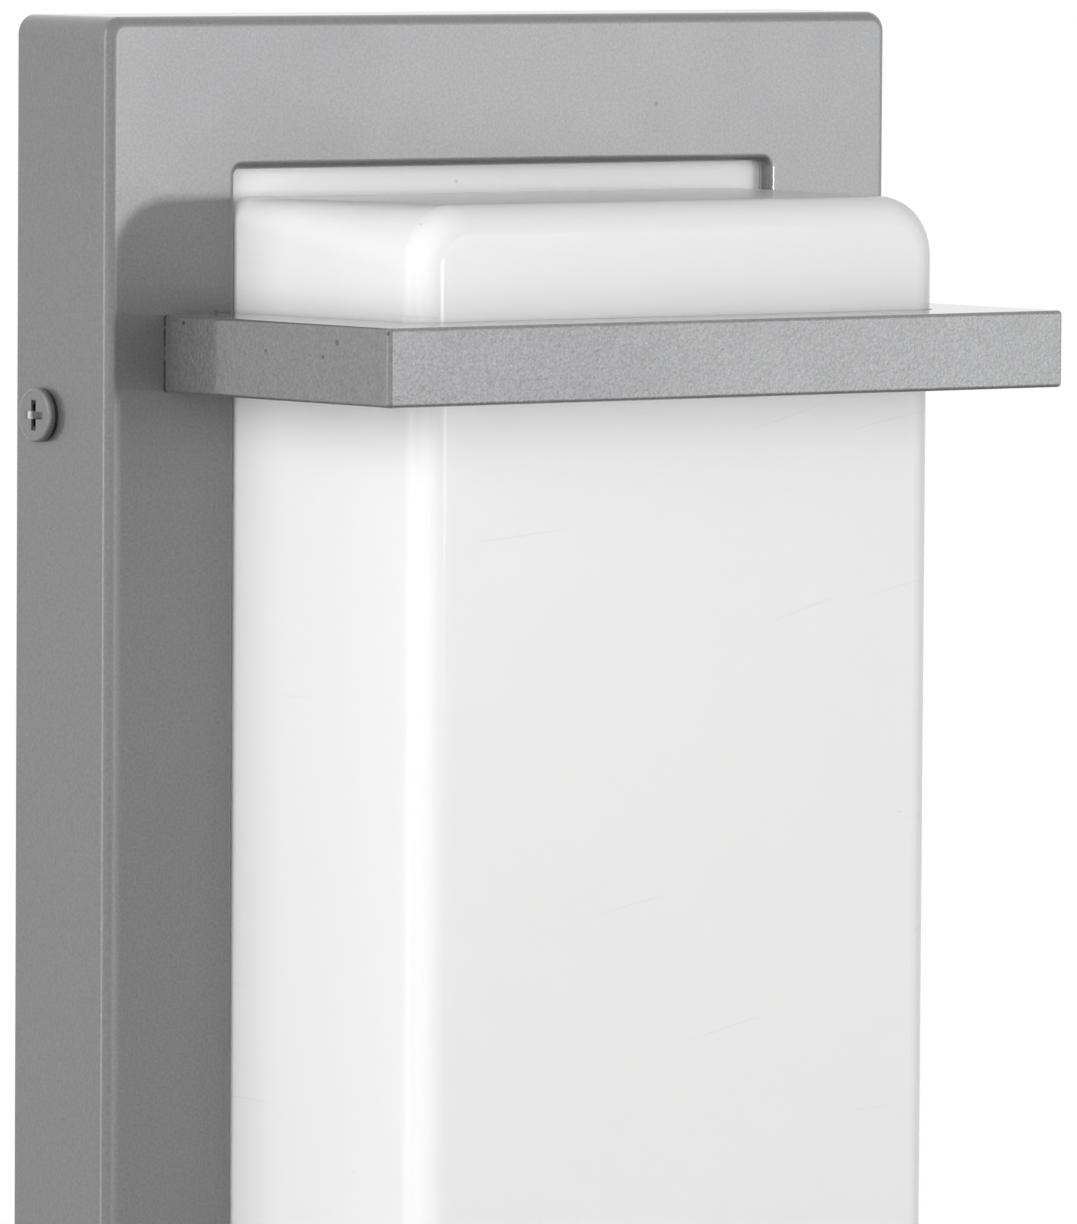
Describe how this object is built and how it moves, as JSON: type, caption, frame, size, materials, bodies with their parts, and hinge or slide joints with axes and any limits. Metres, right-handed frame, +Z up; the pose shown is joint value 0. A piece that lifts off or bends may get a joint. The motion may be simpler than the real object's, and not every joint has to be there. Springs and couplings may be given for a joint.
{
  "type": "outdoor wall lantern",
  "caption": "Flat painted wall lantern: a shallow pan carries a tall opal box diffuser, clasped near each end by a square U-shaped bar.",
  "frame": {"origin": "middle of the junction-box slots, on the wall", "axes": "+Z up, +Y into the wall, +X to the right of someone facing the lantern"},
  "size_m": [0.1532, 0.0784, 0.36],
  "materials": {
    "silver_paint": "fine metallic silver-grey paint, satin",
    "opal_plastic": "glossy opal moulded acrylic",
    "silicone_grey": "soft translucent grey silicone",
    "foam_black": "closed-cell foam",
    "rubber_black": "moulded rubber",
    "zinc_steel": "zinc-plated pressed steel",
    "screw_steel": "stainless screw, satin",
    "tray_white": "matt white reflector paint",
    "board_white": "white solder mask on a metal-core board",
    "chip_yellow": "phosphor-filled silicone",
    "connector_white": "moulded nylon",
    "driver_plastic": "moulded polycarbonate",
    "potting_grey": "poured potting compound",
    "terminal_cream": "moulded barrier block",
    "ground_green": "green-dyed plating",
    "washer_brass": "plain brass"
  },
  "bodies": {
    "root": {"cover_pan": "silver_paint", "upper_bar": "silver_paint", "lower_bar": "silver_paint", "diffuser": "opal_plastic", "diffuser_gasket": "silicone_grey", "bar_screws": "screw_steel", "bar_washers": "rubber_black", "led_tray": "tray_white", "tray_screws": "screw_steel", "led_board_left": "board_white", "led_board_right": "board_white", "led_chips_left": "chip_yellow", "led_chips_right": "chip_yellow", "board_connectors": "connector_white", "board_screws": "screw_steel", "driver_case": "driver_plastic", "driver_potting": "potting_grey", "driver_lid": "driver_plastic", "driver_screws": "screw_steel", "terminal_block": "terminal_cream", "terminal_screws": "screw_steel", "wall_plate": "zinc_steel", "wall_gasket": "foam_black", "wire_bushing": "rubber_black", "side_screws": "silver_paint", "clinch_nuts": "zinc_steel", "ground_screw": "ground_green", "ground_washer": "washer_brass"}
  },
  "joints": []
}
